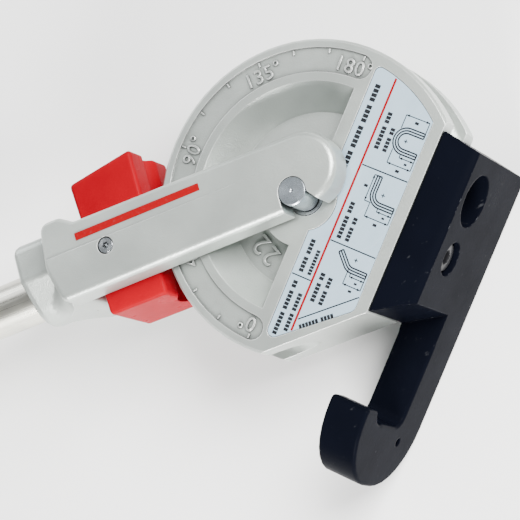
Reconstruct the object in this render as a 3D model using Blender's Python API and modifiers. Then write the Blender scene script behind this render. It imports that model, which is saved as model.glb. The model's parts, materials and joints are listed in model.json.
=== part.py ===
"""Manual tube bender: a round former with a hook, and a lever that carries a sliding shoe.

The origin is on the pivot axis, at the rear end of the pivot pin. X runs along the straight
end of the tube, from the bend to the hook, and Z comes out of the former's face. The lever
rests where the tube that is being bent has reached LEVER_READING on the dial.
"""

import math

import bmesh
import bpy
from mathutils import Matrix

# Tube and former
BEND_RADIUS = 0.088
TUBE_RADIUS = 0.011
RIM_LIP = 0.002
FORMER_THICKNESS = 0.046
RIM_CHAMFER = 0.0015
CORNER_CUT_X = 0.011
CORNER_CUT_MARGIN = 0.001
CORNER_CUT_ANGLE = 41.9

# Face of the former
DIAL_MARGIN = 0.005
DIAL_WIDTH = 0.014
DIAL_DEPTH = 0.0012
POCKET_MARGIN = 0.005
POCKET_WALL = 0.015
POCKET_INNER = 0.028
POCKET_DEPTH = 0.015
POCKET_SIDE = 0.0015
LABEL_LEFT = 0.009
LABEL_MARGIN = 0.007
LABEL_HUB_MARGIN = 0.0105
LABEL_CORNER_MARGIN = 0.0072
LABEL_BOTTOM_SLOPE = 39.0
LABEL_DEPTH = 0.001
LABEL_THICKNESS = 0.0004

# Pivot
PIN_RADIUS = 0.008
PIN_PROUD = 0.0005
PIN_CHAMFER = 0.0006
PIN_CENTRE_DOT = 0.0011
PIN_SHOULDER = 0.0013
BUSH_WALL = 0.0018
BUSH_LENGTH = 0.014

# Hook
HOOK_INSET = 0.030
HOOK_WIDTH = 0.024
HOOK_DEPTH = 0.084
HOOK_PROUD = 0.0005
HOOK_TOP_MARGIN = 0.0137
HOOK_TOP_FALL = 0.0045
HOOK_TOP_ROUND = 0.012
LEDGE_TO_TUBE = 0.0435
LEDGE_RISE = 0.0145
SHANK_THICKNESS = 0.031
THROAT_ROUND = 0.007
NOSE_LENGTH = 0.047
NOSE_PROUD = 0.0015
NOSE_OVERLAP = 0.004
NOSE_ROUND = 0.038
NOSE_TIP_ROUND = 0.003
SEAT_WRAP = 200.0
STRIP_WIDTH = 0.005
STRIP_DEPTH = 0.003
HOOK_EDGE = 0.0018
HANG_HOLE_RADIUS = 0.0026
HANG_HOLE_PAST_TUBE = 0.019
HANG_HOLE_ABOVE_BACK = 0.026

# Hook fixings
SOCKET_Y = 0.033
SOCKET_DEPTH = 0.040
SCREW_Y = -0.001
SCREW_RADIUS = 0.005
SCREW_HEAD_RADIUS = 0.008
SCREW_HEAD_HEIGHT = 0.009
SCREW_RECESS_RADIUS = 0.010
SCREW_RECESS_DEPTH = 0.012
SCREW_HEX = 0.0046
INSERT_WALL = 0.002
INSERT_LENGTH = 0.020
DOWEL_RADIUS = 0.004
DOWEL_LENGTH = 0.022
DOWEL_PAST_SOCKET = 0.0062
DOWEL_PAST_SCREW = 0.023

# Lever
LEVER_READING = 48.5
ARM_THICKNESS = 0.017
ARM_GAP = 0.003
ARM_OFFSET = 0.011
ARM_TIP = 0.0085
ARM_TIP_RADIUS = 0.0205
ARM_PAST_SHOE = 0.035
ARM_ROOT_HALF = 0.0218
ARM_ROOT_BULGE = 0.0065
ARM_ROUND = 0.004
SHOULDER_RISE = 0.0055
SHOULDER_LENGTH = 0.015
BAND_OFFSET = 0.0055
BAND_DEPTH = 0.0006
SLOT_FLARE = 0.006
BODY_PAST_SHOE = 0.024
BODY_LENGTH = 0.043
BODY_WEB = 0.006
BODY_DROP = 0.015
BODY_TOP = 0.026
BODY_STEP = 0.0035
BODY_ROUND = 0.006
BODY_END_ROUND = 0.005
BOSS_WALL = 0.0057
FLARE_ROUND = 0.021
FLARE_MARGIN = 0.0005
WEB_OVERLAP = 0.004

# Shoe
SHOE_REACH = 0.028
SHOE_SWIVEL_Y = 0.0115
SHOE_GAP = 0.005
SHOE_LEAD = 0.055
SHOE_TRAIL = 0.034
SHOE_BACK = 0.0217
SHOE_LEAD_SLOPE = 0.0065
SHOE_BACK_SLOPE = 0.005
SHOE_EDGE = 0.0024
WASHER_THICKNESS = 0.0011
WASHER_RADIUS = 0.011
SLEEVE_RADIUS = 0.006
SHOE_SCREW_RADIUS = 0.003
SHOE_HEAD_RADIUS = 0.0048
SHOE_HEAD_HEIGHT = 0.0045
SHOE_STAR = 0.0019
NUT_RADIUS = 0.0058
NUT_HEIGHT = 0.005

# Handle
HANDLE_RADIUS = 0.015
HANDLE_WALL = 0.002
HANDLE_LENGTH = 0.450
GRIP_LENGTH = 0.125
GRIP_WALL = 0.0032
GRIP_ROUND = 0.0015
CAP_LIP = 0.002
CAP_HEIGHT = 0.005
CAP_PLUG = 0.014
LOCK_RADIUS = 0.004
LOCK_LENGTH = 0.005
LOCK_HEX = 0.0023
LOCK_FROM_END = 0.014

FIT = 0.0003
PAST = 0.010
MERGE = 0.00001
FLAT = 0.002
TURN_STEPS = 32
RIM_STEPS = 72

# Sizes that follow
RIM_RADIUS = BEND_RADIUS + RIM_LIP
CORNER_CUT_START = (CORNER_CUT_X, CORNER_CUT_MARGIN - RIM_RADIUS)
DIAL_OUTER = RIM_RADIUS - DIAL_MARGIN
DIAL_INNER = DIAL_OUTER - DIAL_WIDTH
POCKET_OUTER = DIAL_INNER - POCKET_MARGIN
POCKET_FLOOR_OUTER = POCKET_OUTER - POCKET_WALL
HOOK_FLAT = RIM_RADIUS - HOOK_INSET
LABEL_RIGHT = HOOK_FLAT - LABEL_MARGIN
LABEL_ARC = RIM_RADIUS - LABEL_MARGIN
LABEL_HUB = PIN_RADIUS + LABEL_HUB_MARGIN
LABEL_CORNER_Y = LABEL_CORNER_MARGIN - RIM_RADIUS
PIN_LENGTH = FORMER_THICKNESS + 2 * (ARM_GAP + ARM_THICKNESS + PIN_PROUD)
MID = PIN_LENGTH / 2
FORMER_FRONT = MID + FORMER_THICKNESS / 2
FORMER_BACK = MID - FORMER_THICKNESS / 2
ARM_INNER = FORMER_THICKNESS / 2 + ARM_GAP
ARM_OUTER = ARM_INNER + ARM_THICKNESS
HOOK_FRONT = FORMER_FRONT + HOOK_PROUD
HOOK_BACK = HOOK_FRONT - HOOK_DEPTH
HOOK_FACE = HOOK_FLAT + HOOK_WIDTH
SHANK_FRONT = HOOK_BACK + SHANK_THICKNESS
SOCKET_RADIUS = HANDLE_RADIUS + FIT
HOOK_TOP = SOCKET_Y + SOCKET_RADIUS + HOOK_TOP_MARGIN
LEDGE_LOW = LEDGE_TO_TUBE - BEND_RADIUS
NOSE_END = -BEND_RADIUS - NOSE_LENGTH
HANG_HOLE_Y = -BEND_RADIUS - HANG_HOLE_PAST_TUBE
DOWEL_UPPER = SOCKET_Y + SOCKET_RADIUS + DOWEL_PAST_SOCKET
DOWEL_LOWER = SCREW_Y - DOWEL_PAST_SCREW
DOWEL_PLACES = (("upper", DOWEL_UPPER), ("lower", DOWEL_LOWER))
SHOE_RADIAL = BEND_RADIUS + SHOE_REACH
ARM_ROOT = SHOE_RADIAL + ARM_PAST_SHOE
BODY_INNER = SHOE_RADIAL + BODY_PAST_SHOE
BODY_OUTER = BODY_INNER + BODY_LENGTH
BOSS_RADIUS = HANDLE_RADIUS + FIT + BOSS_WALL
CAP_RADIUS = HANDLE_RADIUS + CAP_LIP
LEVER_TURN = math.radians(90.0 - LEVER_READING)


def add_material(name, colour, metallic, roughness):
    """A plain Principled material."""
    material = bpy.data.materials.new(name)
    material.use_nodes = True
    shader = material.node_tree.nodes["Principled BSDF"]
    shader.inputs["Base Color"].default_value = (*colour, 1.0)
    shader.inputs["Metallic"].default_value = metallic
    shader.inputs["Roughness"].default_value = roughness
    return material


def add_collection(name):
    """A new collection in the scene."""
    collection = bpy.data.collections.new(name)
    bpy.context.scene.collection.children.link(collection)
    return collection


def arc(centre_x, centre_y, radius, start, end, steps):
    """Points along an arc, with its angles in degrees."""
    points = []
    for step in range(steps + 1):
        angle = math.radians(start + (end - start) * step / steps)
        x = centre_x + radius * math.cos(angle)
        y = centre_y + radius * math.sin(angle)
        points.append((x, y))
    return points


def rounded(corners, steps=4):
    """An outline from (x, y, radius) corners, each with its own round."""
    points = []
    count = len(corners)
    for index, (x, y, radius) in enumerate(corners):
        if radius == 0:
            points.append((x, y))
            continue
        before = corners[index - 1]
        after = corners[(index + 1) % count]
        angle_in = math.atan2(before[1] - y, before[0] - x)
        angle_out = math.atan2(after[1] - y, after[0] - x)
        opening = (angle_out - angle_in + math.pi) % (2 * math.pi) - math.pi
        middle = angle_in + opening / 2
        reach = radius / abs(math.sin(opening / 2))
        centre_x = x + reach * math.cos(middle)
        centre_y = y + reach * math.sin(middle)
        sweep = math.copysign(math.pi - abs(opening), -opening)
        first = middle + math.pi - sweep / 2
        start = math.degrees(first)
        end = math.degrees(first + sweep)
        points.extend(arc(centre_x, centre_y, radius, start, end, steps))
    return points


def plain(points):
    """Points as corners without a round."""
    return [(x, y, 0) for x, y in points]


def link(name, mesh, collection, parent=None):
    """An object made from a mesh."""
    thing = bpy.data.objects.new(name, mesh)
    collection.objects.link(thing)
    thing.parent = parent
    if collection is cutters:
        thing.hide_render = True
        thing.display_type = "WIRE"
    return thing


def plate(name, outline, low, high, collection, parent=None):
    """A flat outline with thickness, made as a filled curve and turned into a mesh."""
    curve = bpy.data.curves.new(name, "CURVE")
    curve.dimensions = "2D"
    curve.fill_mode = "BOTH"
    curve.extrude = (high - low) / 2
    spline = curve.splines.new("POLY")
    spline.points.add(len(outline) - 1)
    for point, (x, y) in zip(spline.points, outline):
        point.co = (x, y, 0, 1)
    spline.use_cyclic_u = True
    drawn = bpy.data.objects.new(name + "_outline", curve)
    bpy.context.scene.collection.objects.link(drawn)
    depsgraph = bpy.context.evaluated_depsgraph_get()
    mesh = bpy.data.meshes.new_from_object(drawn.evaluated_get(depsgraph))
    bpy.data.objects.remove(drawn)
    mesh.name = name
    work = bmesh.new()
    work.from_mesh(mesh)
    bmesh.ops.remove_doubles(work, verts=work.verts, dist=MERGE)
    bmesh.ops.translate(work, verts=work.verts, vec=(0, 0, (low + high) / 2))
    bmesh.ops.dissolve_limit(work, angle_limit=FLAT, verts=work.verts, edges=work.edges)
    bmesh.ops.recalc_face_normals(work, faces=work.faces)
    work.to_mesh(mesh)
    work.free()
    return link(name, mesh, collection, parent)


def turned(name, profile, collection, parent=None, steps=TURN_STEPS, closed=False):
    """A profile of (radius, height) points turned about Z, listed down its outer side."""
    mesh = bpy.data.meshes.new(name)
    count = len(profile)
    edges = [(index, index + 1) for index in range(count - 1)]
    if closed:
        edges.append((count - 1, 0))
    mesh.from_pydata([(radius, 0, height) for radius, height in profile], edges, [])
    thing = link(name, mesh, collection, parent)
    screw = thing.modifiers.new("turn", "SCREW")
    screw.steps = steps
    screw.render_steps = steps
    screw.use_merge_vertices = True
    screw.merge_threshold = MERGE
    return thing


def ring(name, inner, outer, low, high, collection, parent=None, steps=TURN_STEPS):
    """A plain turned ring."""
    profile = [(inner, high), (outer, high), (outer, low), (inner, low)]
    return turned(name, profile, collection, parent, steps, closed=True)


def cylinder(name, radius, low, high, collection, parent=None, sides=TURN_STEPS):
    """A closed cylinder along Z."""
    work = bmesh.new()
    bmesh.ops.create_cone(
        work,
        cap_ends=True,
        segments=sides,
        radius1=radius,
        radius2=radius,
        depth=high - low,
        matrix=Matrix.Translation((0, 0, (low + high) / 2)),
    )
    mesh = bpy.data.meshes.new(name)
    work.to_mesh(mesh)
    work.free()
    return link(name, mesh, collection, parent)


def block(name, low, high, collection, parent=None):
    """A box between two corners."""
    work = bmesh.new()
    bmesh.ops.create_cube(work, size=1.0)
    size = [high[axis] - low[axis] for axis in range(3)]
    centre = [(high[axis] + low[axis]) / 2 for axis in range(3)]
    bmesh.ops.scale(work, verts=work.verts, vec=size)
    bmesh.ops.translate(work, verts=work.verts, vec=centre)
    mesh = bpy.data.meshes.new(name)
    work.to_mesh(mesh)
    work.free()
    return link(name, mesh, collection, parent)


def combine(target, other, operation):
    """A Boolean between two objects."""
    boolean = target.modifiers.new(other.name, "BOOLEAN")
    boolean.operation = operation
    boolean.solver = "EXACT"
    boolean.object = other


def cut(target, other):
    """Takes the other object out of the target."""
    combine(target, other, "DIFFERENCE")


def add_bevel(thing, width, segments, angle=40.0, clamp=True):
    """Rounds the edges that are sharper than an angle."""
    bevel = thing.modifiers.new("edges", "BEVEL")
    bevel.use_clamp_overlap = clamp
    bevel.width = width
    bevel.segments = segments
    bevel.limit_method = "ANGLE"
    bevel.angle_limit = math.radians(angle)


def bevel_rim(thing, height, width, segments):
    """Rounds the edges that lie at one height."""
    mesh = thing.data
    weights = mesh.attributes.new("bevel_weight_edge", "FLOAT", "EDGE")
    for edge in mesh.edges:
        ends = [mesh.vertices[index].co.z for index in edge.vertices]
        if all(abs(end - height) < MERGE for end in ends):
            weights.data[edge.index].value = 1.0
    bevel = thing.modifiers.new("rim", "BEVEL")
    bevel.width = width
    bevel.segments = segments
    bevel.limit_method = "WEIGHT"


def finish(thing, material):
    """Smooth shading with sharp corners, and the piece's material."""
    thing.data.materials.append(material)
    thing.data.shade_smooth()
    thing.data.set_sharp_from_angle(angle=math.radians(35.0))
    return thing


def along_x(thing, x, y, z):
    """Turns a piece made along Z so that it points along +X."""
    thing.location = (x, y, z)
    thing.rotation_euler = (0, math.radians(90.0), 0)


def label_outline(inset):
    """The label's outline, drawn in from the edge of its recess."""
    left = LABEL_LEFT + inset
    right = LABEL_RIGHT - inset
    radius = LABEL_ARC - inset
    hub = LABEL_HUB + inset
    slope = math.radians(LABEL_BOTTOM_SLOPE)
    low_left = LABEL_CORNER_Y + inset / math.cos(slope) + inset * math.tan(slope)
    low_right = low_left + (right - left) * math.tan(slope)
    arc_start = math.degrees(math.acos(right / radius))
    arc_end = math.degrees(math.acos(left / radius))
    hub_angle = math.degrees(math.acos(left / hub))
    corners = [(left, low_left, 0.004 - inset), (right, low_right, 0.005 - inset)]
    corners += plain(arc(0, 0, radius, arc_start, arc_end - 4.0, 10))
    corners.append((left, math.sqrt(radius**2 - left**2), 0.003))
    corners += plain(arc(0, 0, hub, hub_angle, -hub_angle, 12))
    return rounded(corners)


def dial_outline():
    """The dial's ring, round at both ends."""
    middle = (DIAL_INNER + DIAL_OUTER) / 2
    half = (DIAL_OUTER - DIAL_INNER) / 2
    points = arc(0, 0, DIAL_OUTER, 90, 270, 36)
    points += arc(0, -middle, half, 270, 450, 8)[1:-1]
    points += arc(0, 0, DIAL_INNER, 270, 90, 36)
    points += arc(0, middle, half, -90, 90, 8)[1:-1]
    return points


def pocket(name, face, depth):
    """The dished pocket behind the lever side of the hub, as a cutter."""
    floor = face - depth
    above = face + math.copysign(PAST, depth)
    wall = (POCKET_OUTER - POCKET_FLOOR_OUTER) / depth
    above_radius = POCKET_OUTER + wall * (above - face)
    profile = [(POCKET_INNER, above), (above_radius, above)]
    profile += [(POCKET_FLOOR_OUTER, floor), (POCKET_INNER, floor)]
    if depth < 0:
        profile.reverse()
    dish = turned(name, profile, cutters, steps=RIM_STEPS, closed=True)
    dish.rotation_euler = (0, 0, math.pi / RIM_STEPS)
    low = (-RIM_RADIUS, -RIM_RADIUS, min(floor, above) - PAST)
    high = (POCKET_SIDE, RIM_RADIUS, max(floor, above) + PAST)
    side = block(name + "_side", low, high, cutters)
    combine(dish, side, "INTERSECT")
    return dish


def build_former():
    """The cast former: rim groove, dial, pockets, label recess and bores."""
    lip = math.degrees(math.acos(-RIM_LIP / TUBE_RADIUS)) - 90.0
    profile = [(PIN_RADIUS + BUSH_WALL + 2 * FIT, FORMER_FRONT)]
    profile += [(RIM_RADIUS - RIM_CHAMFER, FORMER_FRONT)]
    profile += [(RIM_RADIUS, FORMER_FRONT - RIM_CHAMFER)]
    profile += arc(BEND_RADIUS, MID, TUBE_RADIUS, 90.0 - lip, 270.0 + lip, 10)
    profile += [(RIM_RADIUS, FORMER_BACK + RIM_CHAMFER)]
    profile += [(RIM_RADIUS - RIM_CHAMFER, FORMER_BACK)]
    profile += [(PIN_RADIUS + BUSH_WALL + 2 * FIT, FORMER_BACK)]
    former = turned("former", profile, parts, steps=RIM_STEPS, closed=True)

    low = (HOOK_FLAT, -2 * RIM_RADIUS, FORMER_BACK - PAST)
    high = (2 * RIM_RADIUS, 2 * RIM_RADIUS, FORMER_FRONT + PAST)
    cut(former, block("hook_flat", low, high, cutters))

    low = (-RIM_RADIUS, -RIM_RADIUS, FORMER_BACK - PAST)
    high = (2 * RIM_RADIUS, 0, FORMER_FRONT + PAST)
    corner = block("corner_cut", low, high, cutters)
    corner.location = (*CORNER_CUT_START, 0)
    corner.rotation_euler = (0, 0, math.radians(CORNER_CUT_ANGLE))
    cut(former, corner)

    top = FORMER_FRONT + PAST
    cut(former, plate("dial_recess", dial_outline(), FORMER_FRONT - DIAL_DEPTH, top, cutters))
    cut(former, plate("label_recess", label_outline(0), FORMER_FRONT - LABEL_DEPTH, top, cutters))
    cut(former, pocket("pocket_front", FORMER_FRONT, POCKET_DEPTH))
    cut(former, pocket("pocket_rear", FORMER_BACK, -POCKET_DEPTH))

    socket = cylinder("former_socket", SOCKET_RADIUS, -SOCKET_DEPTH, PAST, cutters)
    along_x(socket, HOOK_FLAT, SOCKET_Y, MID)
    cut(former, socket)

    insert = SCREW_RADIUS + FIT + INSERT_WALL + FIT
    screw_hole = cylinder("insert_hole", insert, -INSERT_LENGTH - 2 * FIT, PAST, cutters)
    along_x(screw_hole, HOOK_FLAT, SCREW_Y, MID)
    cut(former, screw_hole)

    for name, y in DOWEL_PLACES:
        hole = cylinder(
            "former_dowel_" + name,
            DOWEL_RADIUS + FIT,
            -DOWEL_LENGTH / 2 - FIT,
            PAST,
            cutters,
        )
        along_x(hole, HOOK_FLAT, y, MID)
        cut(former, hole)
    finish(former, cast_aluminium)


def build_label():
    """The instruction label, a thin plate in its recess."""
    low = FORMER_FRONT - LABEL_DEPTH + FIT
    label = plate("label_plate", label_outline(FIT), low, low + LABEL_THICKNESS, parts)
    finish(label, label_foil)


def hook_profile():
    """The hook's side outline as (Y, Z) points: block, shank, throat and round nose."""
    nose_front = HOOK_FRONT + NOSE_PROUD
    nose_tip = -BEND_RADIUS - NOSE_OVERLAP
    seat = TUBE_RADIUS + FIT
    seat_start = math.degrees(math.acos(-NOSE_OVERLAP / seat))
    corners = [(HOOK_TOP, HOOK_FRONT, 0)]
    corners.append((HOOK_TOP, HOOK_BACK, HOOK_TOP_ROUND))
    corners.append((NOSE_END, HOOK_BACK, NOSE_ROUND))
    corners.append((NOSE_END, nose_front, NOSE_ROUND))
    corners.append((nose_tip, nose_front, NOSE_TIP_ROUND))
    corners += plain(arc(-BEND_RADIUS, MID, seat, seat_start, SEAT_WRAP, 8))
    throat_y = -BEND_RADIUS + seat * math.cos(math.radians(SEAT_WRAP))
    corners.append((throat_y, SHANK_FRONT, THROAT_ROUND))
    corners.append((LEDGE_LOW, SHANK_FRONT, THROAT_ROUND))
    corners.append((LEDGE_LOW, HOOK_FRONT, 0))
    return rounded(corners, steps=8)


def build_hook():
    """The black steel hook that holds the straight end of the tube."""
    hook = plate("hook_block", hook_profile(), HOOK_FLAT + FIT, HOOK_FACE, parts)
    hook.rotation_euler = (math.radians(90.0), 0, math.radians(90.0))
    add_bevel(hook, HOOK_EDGE, 3, clamp=False)
    front = HOOK_FRONT + PAST

    top = [(HOOK_FLAT, HOOK_TOP), (HOOK_FACE + PAST, HOOK_TOP - HOOK_TOP_FALL * 1.4)]
    top += [(HOOK_FACE + PAST, HOOK_TOP + PAST), (HOOK_FLAT, HOOK_TOP + PAST)]
    cut(hook, plate("hook_top_slope", top, HOOK_BACK - PAST, front, cutters))

    rise = LEDGE_RISE * (HOOK_WIDTH + PAST) / HOOK_WIDTH
    ledge = [(HOOK_FLAT, LEDGE_LOW), (HOOK_FLAT, LEDGE_LOW - PAST)]
    ledge += [(HOOK_FACE + PAST, LEDGE_LOW - PAST), (HOOK_FACE + PAST, LEDGE_LOW + rise)]
    cut(hook, plate("ledge_slope", ledge, SHANK_FRONT, front, cutters))

    strip = [(HOOK_FACE - STRIP_WIDTH, HOOK_FRONT), (HOOK_FACE, HOOK_FRONT - STRIP_DEPTH)]
    strip += [(HOOK_FACE + PAST, HOOK_FRONT + PAST)]
    edge_strip = plate("edge_strip", strip, -HOOK_TOP - PAST, -LEDGE_LOW + PAST, cutters)
    edge_strip.rotation_euler = (math.radians(90.0), 0, 0)
    cut(hook, edge_strip)

    through = (-HOOK_WIDTH - PAST, PAST)
    hang_z = HOOK_BACK + HANG_HOLE_ABOVE_BACK
    holes = (
        ("hook_socket", SOCKET_RADIUS, through, SOCKET_Y, MID),
        ("hook_screw_hole", SCREW_RADIUS + FIT, through, SCREW_Y, MID),
        ("hook_screw_recess", SCREW_RECESS_RADIUS, (-SCREW_RECESS_DEPTH, PAST), SCREW_Y, MID),
        ("hang_hole", HANG_HOLE_RADIUS, through, HANG_HOLE_Y, hang_z),
    )
    for name, radius, (low, high), y, z in holes:
        hole = cylinder(name, radius, low, high, cutters)
        along_x(hole, HOOK_FACE, y, z)
        cut(hook, hole)
    for name, y in DOWEL_PLACES:
        depth = DOWEL_LENGTH / 2 + 2 * FIT
        hole = cylinder("hook_dowel_hole_" + name, DOWEL_RADIUS + FIT, -PAST, depth, cutters)
        along_x(hole, HOOK_FLAT, y, MID)
        cut(hook, hole)
    finish(hook, black_steel)


def build_hook_fixings():
    """The socket screw, its thread insert and two dowels between hook and former."""
    seat = HOOK_FACE - SCREW_RECESS_DEPTH + FIT
    shank_end = HOOK_FLAT - INSERT_LENGTH + FIT - seat
    profile = [(0, SCREW_HEAD_HEIGHT), (SCREW_HEAD_RADIUS, SCREW_HEAD_HEIGHT)]
    profile += [(SCREW_HEAD_RADIUS, 0), (SCREW_RADIUS, 0), (SCREW_RADIUS, shank_end)]
    profile += [(0, shank_end)]
    screw = turned("hook_screw", profile, parts)
    low = SCREW_HEAD_HEIGHT / 2
    hexagon = cylinder("hook_screw_hex", SCREW_HEX, low, SCREW_HEAD_HEIGHT + PAST, cutters, sides=6)
    along_x(screw, seat, SCREW_Y, MID)
    along_x(hexagon, seat, SCREW_Y, MID)
    cut(screw, hexagon)
    finish(screw, dark_screw)

    bore = SCREW_RADIUS + FIT
    insert = ring("thread_insert", bore, bore + INSERT_WALL, -INSERT_LENGTH, -FIT, parts)
    along_x(insert, HOOK_FLAT, SCREW_Y, MID)
    finish(insert, bright_steel)

    for name, y in DOWEL_PLACES:
        half = DOWEL_LENGTH / 2
        dowel = cylinder("hook_dowel_" + name, DOWEL_RADIUS, -half, half, parts)
        along_x(dowel, HOOK_FLAT, y, MID)
        finish(dowel, bright_steel)


def build_pivot():
    """The pivot pin, held by its shoulder between two bushes, free to turn."""
    shoulder = FORMER_THICKNESS / 2 - BUSH_LENGTH - FIT
    wide = PIN_RADIUS + PIN_SHOULDER
    edge = PIN_RADIUS - PIN_CHAMFER
    profile = [(0, PIN_LENGTH - PIN_CENTRE_DOT), (PIN_CENTRE_DOT, PIN_LENGTH)]
    profile += [(edge, PIN_LENGTH), (PIN_RADIUS, PIN_LENGTH - PIN_CHAMFER)]
    profile += [(PIN_RADIUS, MID + shoulder), (wide, MID + shoulder)]
    profile += [(wide, MID - shoulder), (PIN_RADIUS, MID - shoulder)]
    profile += [(PIN_RADIUS, PIN_CHAMFER), (edge, 0), (0, 0)]
    finish(turned("pivot_pin", profile, parts), bright_steel)

    bore = PIN_RADIUS + FIT
    outer = bore + BUSH_WALL
    front = FORMER_FRONT - BUSH_LENGTH
    rear = FORMER_BACK + BUSH_LENGTH
    finish(ring("pivot_bush_front", bore, outer, front, FORMER_FRONT, parts), bright_steel)
    finish(ring("pivot_bush_rear", bore, outer, FORMER_BACK, rear, parts), bright_steel)


def arm_outline():
    """One arm of the lever, seen from the front, with its shoulder and rounded tip."""
    root = -ARM_ROOT
    top = ARM_OFFSET + ARM_ROOT_HALF
    bottom = ARM_OFFSET - ARM_ROOT_HALF
    corners = plain(arc(ARM_TIP, ARM_OFFSET, ARM_TIP_RADIUS, 90, -90, 16))
    corners.append((root, bottom, 0.005))
    corners.append((root - ARM_ROOT_BULGE, ARM_OFFSET, 0.030))
    corners.append((root - ARM_ROOT_BULGE / 2, top + SHOULDER_RISE, 0.006))
    corners.append((root + SHOULDER_LENGTH - SHOULDER_RISE, top + SHOULDER_RISE, 0.005))
    corners.append((root + SHOULDER_LENGTH + SHOULDER_RISE / 2, top, 0.006))
    return rounded(corners)


def body_outline():
    """The body's end as (Y, Z) points about the handle: square at the top, round below."""
    front = ARM_OUTER - BODY_DROP
    towards_step = math.atan2(front, BODY_STEP)
    to_tangent = math.acos(BOSS_RADIUS / math.hypot(front, BODY_STEP))
    start = math.degrees(towards_step + to_tangent)
    corners = [(BODY_TOP, front, BODY_ROUND), (BODY_STEP, front, BODY_ROUND)]
    corners += plain(arc(0, 0, BOSS_RADIUS, start, 360 - start, 12))
    corners += [(BODY_STEP, -front, BODY_ROUND), (BODY_TOP, -front, BODY_ROUND)]
    return rounded(corners)


def flare(lever):
    """The hollow-sided neck that widens from the handle's boss to the two arms."""
    side = ARM_ROOT_HALF - 2 * FLARE_MARGIN
    height = ARM_INNER + WEB_OVERLAP - FLARE_MARGIN
    start = ARM_ROOT + FLARE_ROUND
    inside = ARM_ROOT - WEB_OVERLAP
    profile = [(0, start)]
    profile += arc(BOSS_RADIUS + FLARE_ROUND, start, FLARE_ROUND, 180, 270, 8)
    profile += [(BOSS_RADIUS + FLARE_ROUND, inside), (0, inside)]
    neck = turned("neck", profile, cutters, lever)
    neck.location = (0, ARM_OFFSET, MID)
    neck.rotation_euler = (0, math.radians(-90.0), 0)
    low = (-start - PAST, ARM_OFFSET - side, MID - height)
    high = (-inside + PAST, ARM_OFFSET + side, MID + height)
    sides = block("neck_sides", low, high, cutters, lever)
    add_bevel(sides, BODY_ROUND, 3)
    combine(neck, sides, "INTERSECT")
    return neck


def slot_outline():
    """The hooked slot that drops over the pivot pin and opens at the arm's lower edge."""
    half = PIN_RADIUS + FIT
    deep = ARM_OFFSET - ARM_ROOT_HALF - PAST
    flare = half + SLOT_FLARE
    points = arc(0, 0, half, 180, 0, 16)
    points += [(half, -0.003), (flare, -0.003 - SLOT_FLARE * 1.3), (flare, deep), (-half, deep)]
    return points


def build_yoke(lever):
    """The cast fork: two slotted arms, the web between them and the handle's socket."""
    low = MID + ARM_INNER
    high = MID + ARM_OUTER
    yoke = plate("lever_yoke", arm_outline(), low, high, parts, lever)
    bevel_rim(yoke, high, ARM_ROUND, 3)

    band = (ARM_OFFSET + BAND_OFFSET, ARM_OFFSET + 2 * ARM_ROOT_HALF)
    length = ARM_ROOT + 2 * ARM_ROOT_BULGE
    recess = block("name_band", (-length, band[0], 0), (0, band[1], PAST), cutters, lever)
    recess.location = (0, 0, high)
    recess.rotation_euler = (0, -math.atan(BAND_DEPTH / length), 0)
    cut(yoke, recess)

    rear = plate("rear_arm", arm_outline(), MID - ARM_OUTER, MID - ARM_INNER, cutters, lever)
    bevel_rim(rear, MID - ARM_OUTER, ARM_ROUND, 3)
    combine(yoke, rear, "UNION")

    side = ARM_ROOT_HALF - FLARE_MARGIN
    height = ARM_INNER + WEB_OVERLAP
    web_low = (-ARM_ROOT - FLARE_MARGIN, ARM_OFFSET - side, MID - height)
    web_high = (-BODY_INNER, ARM_OFFSET + side, MID + height)
    web = block("web", web_low, web_high, cutters, lever)
    add_bevel(web, WEB_OVERLAP, 3)
    combine(yoke, web, "UNION")
    combine(yoke, flare(lever), "UNION")

    body = plate("yoke_body", body_outline(), -BODY_OUTER, -ARM_ROOT, cutters, lever)
    bevel_rim(body, -BODY_OUTER, BODY_END_ROUND, 3)
    body.location = (0, ARM_OFFSET, MID)
    body.rotation_euler = (math.radians(90.0), 0, math.radians(90.0))
    combine(yoke, body, "UNION")

    cut(yoke, plate("pin_slot", slot_outline(), -PAST, PIN_LENGTH + PAST, cutters, lever))

    bore = cylinder("handle_bore", HANDLE_RADIUS + FIT, -BODY_OUTER - PAST, -BODY_INNER - BODY_WEB,
                    cutters, lever)
    along_x(bore, 0, ARM_OFFSET, MID)
    cut(yoke, bore)

    holes = (
        ("shoe_screw_hole", SHOE_SCREW_RADIUS + FIT, -PAST, PIN_LENGTH + PAST),
        ("shoe_head_recess", SHOE_HEAD_RADIUS + FIT, high - SHOE_HEAD_HEIGHT - FIT, high + PAST),
        ("shoe_nut_recess", NUT_RADIUS + FIT, -PAST, PIN_PROUD + NUT_HEIGHT + 2 * FIT),
    )
    for name, radius, hole_low, hole_high in holes:
        hole = cylinder(name, radius, hole_low, hole_high, cutters, lever)
        hole.location = (-SHOE_RADIAL, SHOE_SWIVEL_Y, 0)
        cut(yoke, hole)

    lock = cylinder("lock_hole", LOCK_RADIUS + FIT, -PAST, MID, cutters, lever)
    lock.location = (-BODY_OUTER + LOCK_FROM_END, ARM_OFFSET, 0)
    cut(yoke, lock)
    finish(yoke, cast_aluminium)


def shoe_outline():
    """The shoe from the front, about its swivel: straight working face, slanted back."""
    face = SHOE_RADIAL - RIM_RADIUS - SHOE_GAP
    points = [(face, SHOE_LEAD), (face, -SHOE_TRAIL)]
    points.append((SHOE_BACK_SLOPE - SHOE_BACK, -SHOE_TRAIL))
    points.append((-SHOE_BACK, SHOE_LEAD - SHOE_LEAD_SLOPE))
    return points


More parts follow.
